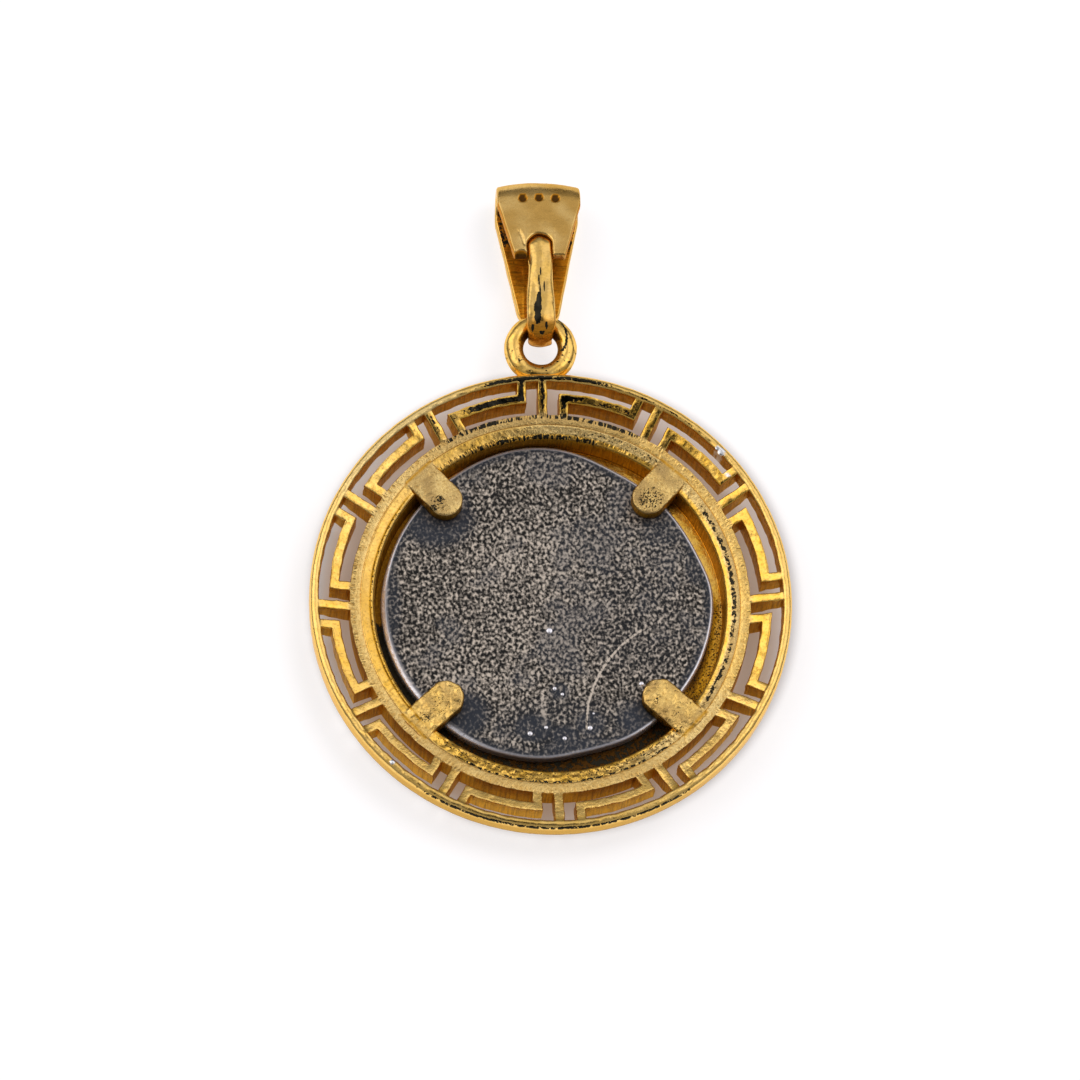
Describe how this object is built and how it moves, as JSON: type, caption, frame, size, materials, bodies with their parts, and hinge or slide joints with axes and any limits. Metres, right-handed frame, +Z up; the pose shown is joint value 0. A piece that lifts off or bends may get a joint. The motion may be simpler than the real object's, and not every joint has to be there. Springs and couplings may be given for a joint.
{
  "type": "sun pendant",
  "caption": "Round gilt pendant lying face down: pierced key-pattern frame, oxidised disc held by bent tabs, and a folded bail hooked through the eyelet.",
  "frame": {"origin": "on the surface that the pendant lies on, below the middle of its outline", "axes": "+Y from the ring towards the eyelet and bail, +Z up to the pendant's back, +X to the right seen from the back"},
  "size_m": [0.028, 0.0404, 0.0039],
  "materials": {
    "gilt_frame": "gilt casting, satin with polished edges and fine casting pits",
    "oxidised_silver": "oxidised, fine dark and beige speckle, bright filed edge",
    "gilt_bail": "gilt, satin back leaf and polished hook"
  },
  "bodies": {
    "root": {"frame": "gilt_frame", "disc": "oxidised_silver", "bail": "gilt_bail"}
  },
  "joints": []
}
